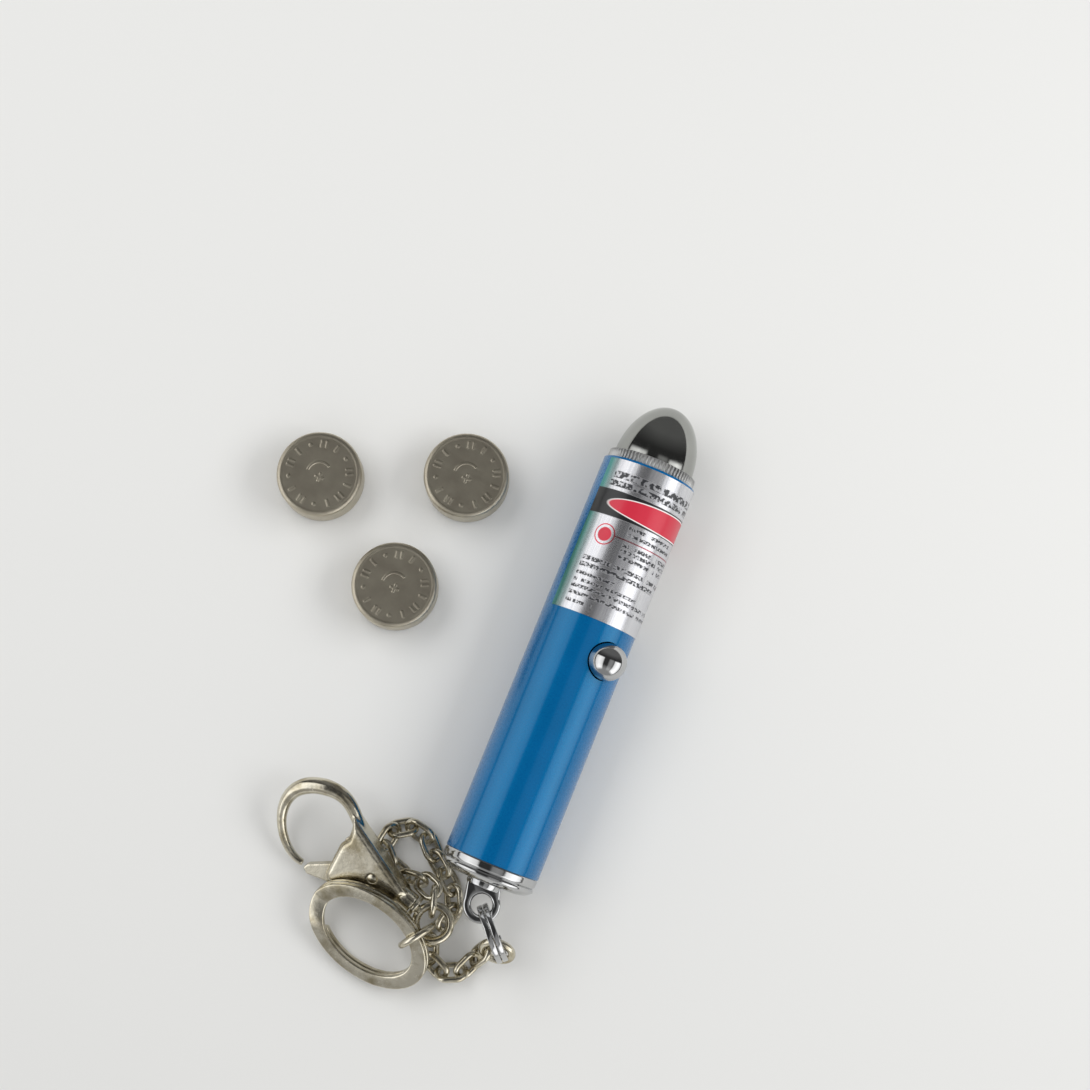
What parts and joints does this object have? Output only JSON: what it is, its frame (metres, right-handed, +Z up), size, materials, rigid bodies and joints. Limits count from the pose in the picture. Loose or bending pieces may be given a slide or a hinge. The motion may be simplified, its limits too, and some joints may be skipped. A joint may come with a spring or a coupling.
{
  "type": "cat laser pointer toy",
  "caption": "Hand-held push-button laser pointer used as a cat toy, with a chain, lobster clasp and key ring on its tail lug, and loose button cells beside it.",
  "frame": {"origin": "under the middle of the whole set, on the table", "axes": "+X to the right of the pointer, +Y along the pointer towards its nose, +Z up from the table"},
  "size_m": [0.0548, 0.0864, 0.0147],
  "materials": {
    "blue_lacquer": "gloss lacquer on brass",
    "silver_foil": "printed metallised film",
    "chrome_plate": "bright chrome plate",
    "nickel_plate": "polished nickel plate, slightly aged",
    "cell_steel": "nickel-plated steel",
    "gasket_plastic": "moulded nylon",
    "sleeve_film": "polyester film",
    "carrier_plastic": "moulded ABS",
    "circuit_laminate": "glass-epoxy laminate",
    "resistor_ceramic": "fired ceramic chip",
    "switch_metal": "stamped steel",
    "spring_steel": "drawn spring wire",
    "contact_brass": "turned brass",
    "diode_metal": "gold-flashed steel can",
    "lens_acrylic": "moulded clear acrylic"
  },
  "bodies": {
    "barrel": {"barrel": "blue_lacquer", "label": "silver_foil", "battery_sleeve": "sleeve_film", "board_carrier": "carrier_plastic", "circuit_board": "circuit_laminate", "resistor": "resistor_ceramic", "switch_case": "switch_metal", "front_contact": "contact_brass", "contact_spring": "spring_steel", "module_housing": "contact_brass", "laser_diode": "diode_metal", "lens_spring": "spring_steel", "collimating_lens": "lens_acrylic", "lens_retainer": "contact_brass"},
    "push_button": {"push_button": "chrome_plate"},
    "switch_plunger": {"switch_plunger": "carrier_plastic"},
    "tail_lug": {"tail_lug": "chrome_plate", "tail_spring": "spring_steel"},
    "tail_cap": {"tail_cap": "chrome_plate"},
    "aperture_window": {"aperture_window": "lens_acrylic"},
    "nose": {"nose_shell": "chrome_plate", "knurled_ring": "chrome_plate"},
    "small_split_ring": {"small_split_ring": "chrome_plate"},
    "chain_near": {"jump_ring": "nickel_plate", "chain_link_01": "nickel_plate", "chain_link_02": "nickel_plate", "chain_link_03": "nickel_plate", "chain_link_04": "nickel_plate", "chain_link_05": "nickel_plate"},
    "chain_far": {"chain_link_06": "nickel_plate", "chain_link_07": "nickel_plate", "chain_link_08": "nickel_plate", "chain_link_09": "nickel_plate", "chain_link_10": "nickel_plate", "chain_link_11": "nickel_plate", "chain_link_12": "nickel_plate", "chain_link_13": "nickel_plate", "chain_link_14": "nickel_plate", "chain_link_15": "nickel_plate", "chain_link_16": "nickel_plate", "chain_link_17": "nickel_plate", "chain_link_18": "nickel_plate", "chain_link_19": "nickel_plate"},
    "swivel_eye": {"swivel_eye": "nickel_plate", "swivel_collar": "nickel_plate"},
    "clasp": {"clasp_body": "nickel_plate", "clasp_rivet": "nickel_plate", "gate_spring": "nickel_plate"},
    "clasp_gate": {"clasp_gate": "nickel_plate"},
    "key_ring": {"key_ring": "nickel_plate", "key_ring_link": "nickel_plate"},
    "cell_1": {"cell_1_can": "cell_steel", "cell_1_gasket": "gasket_plastic", "cell_1_cap": "cell_steel"},
    "cell_2": {"cell_2_can": "cell_steel", "cell_2_gasket": "gasket_plastic", "cell_2_cap": "cell_steel"},
    "cell_3": {"cell_3_can": "cell_steel", "cell_3_gasket": "gasket_plastic", "cell_3_cap": "cell_steel"}
  },
  "joints": [
    {"name": "button_press", "type": "slide", "parent": "barrel", "child": "push_button", "axis": [-0.6018, 0, -0.7986], "range_m": [0, 0.0005], "stiffness_N_per_m": 600, "springref_m": -0.0002},
    {"name": "plunger_press", "type": "slide", "parent": "barrel", "child": "switch_plunger", "axis": [-0.6018, 0, -0.7986], "range_m": [0, 0.0005]},
    {"name": "tail_cap_out", "type": "slide", "parent": "barrel", "child": "tail_lug", "axis": [0, -1, 0], "range_m": [0, 0.00375]},
    {"name": "tail_cap_turn", "type": "hinge", "parent": "tail_lug", "child": "tail_cap", "pos_m": [0.01984, -0.02202, 0.00659], "axis": [0, -1, 0], "range_deg": [0, 1800]},
    {"name": "nose_out", "type": "slide", "parent": "barrel", "child": "aperture_window", "axis": [0, 1, 0], "range_m": [0, 0.00375]},
    {"name": "nose_turn", "type": "hinge", "parent": "aperture_window", "child": "nose", "pos_m": [0.01984, -0.02202, 0.00659], "axis": [0, 1, 0], "range_deg": [0, 1800]},
    {"name": "small_ring_swing", "type": "hinge", "parent": "tail_lug", "child": "small_split_ring", "pos_m": [0.02095, -0.02795, 0.00659], "axis": [0, 0, 1], "range_deg": [-1, 3]},
    {"name": "chain_near_swing", "type": "hinge", "parent": "small_split_ring", "child": "chain_near", "pos_m": [0.02517, -0.03247, 0.00422], "axis": [0, 0, 1], "range_deg": [-1, 3]},
    {"name": "chain_far_swing", "type": "hinge", "parent": "chain_near", "child": "chain_far", "pos_m": [0.01595, -0.03479, 0.00136], "axis": [0, 0, 1], "range_deg": [-1, 3]},
    {"name": "eye_swing", "type": "hinge", "parent": "chain_far", "child": "swivel_eye", "pos_m": [0.01456, -0.03037, 0.00439], "axis": [0, 0, 1], "range_deg": [-1, 2.5]},
    {"name": "clasp_swivel", "type": "hinge", "parent": "swivel_eye", "child": "clasp", "pos_m": [0.01134, -0.03097, 0.00439], "axis": [0.9461, -0.3239, 0], "range_deg": [-3, 6]},
    {"name": "gate_open", "type": "hinge", "parent": "clasp", "child": "clasp_gate", "pos_m": [0.00619, -0.02935, 0.00433], "axis": [0.142, 0.4147, -0.8988], "range_deg": [0, 22], "stiffness_Nm_per_rad": 0.002, "springref_deg": -17.19, "deforming": ["gate_spring"]},
    {"name": "key_ring_lift", "type": "hinge", "parent": "swivel_eye", "child": "key_ring", "pos_m": [0.01441, -0.0344, 0.00439], "axis": [-0.804, 0.5946, 0], "range_deg": [0, 30]},
    {"name": "cell_1_lift", "type": "slide", "parent": "barrel", "child": "cell_1", "axis": [0, 0, 1], "range_m": [0, 0.02]},
    {"name": "cell_2_lift", "type": "slide", "parent": "barrel", "child": "cell_2", "axis": [0, 0, 1], "range_m": [0, 0.02]},
    {"name": "cell_3_lift", "type": "slide", "parent": "barrel", "child": "cell_3", "axis": [0, 0, 1], "range_m": [0, 0.02]}
  ],
  "couplings": [
    {"joint": "plunger_press", "follows": "button_press", "ratio": 1},
    {"joint": "tail_cap_out", "follows": "tail_cap_turn", "m_per_rad": 0.00011937},
    {"joint": "nose_out", "follows": "nose_turn", "m_per_rad": 0.00011937}
  ]
}
